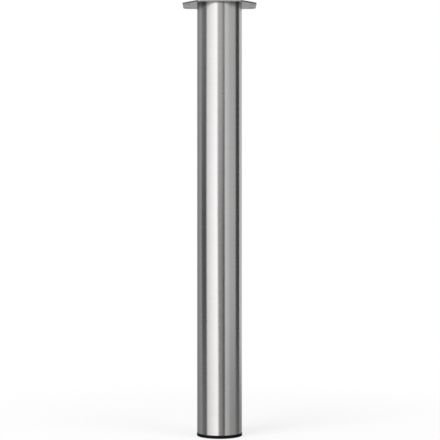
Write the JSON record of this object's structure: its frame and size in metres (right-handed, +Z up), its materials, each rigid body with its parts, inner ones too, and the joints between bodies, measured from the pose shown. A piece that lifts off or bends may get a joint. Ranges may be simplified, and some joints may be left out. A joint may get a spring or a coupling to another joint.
{
  "type": "table leg",
  "caption": "Round satin steel table leg with a thin flat fixing plate on top, its front corners cut off, and a black levelling foot that screws out of the tube.",
  "frame": {"origin": "on the floor under the middle of the tube, with the foot screwed in", "axes": "+Z up along the tube, -Y to the front, where the plate's corners are cut"},
  "size_m": [0.1244, 0.086, 0.73],
  "materials": {
    "tube_steel": "brushed satin, grain round the tube",
    "plate_steel": "plain satin",
    "zinc_steel": "zinc plated",
    "insert_plastic": "moulded, matt",
    "foot_plastic": "moulded, fine matt grain"
  },
  "bodies": {
    "leg": {"leg_tube": "tube_steel", "top_plate": "plate_steel", "plate_stud": "zinc_steel", "top_insert": "insert_plastic", "top_nut": "zinc_steel", "bottom_insert": "insert_plastic", "foot_nut": "zinc_steel"},
    "spindle": {"foot_spindle": "zinc_steel"},
    "foot": {"foot_pad": "foot_plastic"}
  },
  "joints": [
    {"name": "foot_lift", "type": "slide", "parent": "leg", "child": "spindle", "axis": [0, 0, -1], "range_m": [0, 0.015]},
    {"name": "foot_turn", "type": "hinge", "parent": "spindle", "child": "foot", "pos_m": [0, 0, 0], "axis": [0, 0, -1], "range_deg": [0, 3600]}
  ],
  "couplings": [
    {"joint": "foot_lift", "follows": "foot_turn", "m_per_rad": 0.00023873}
  ]
}
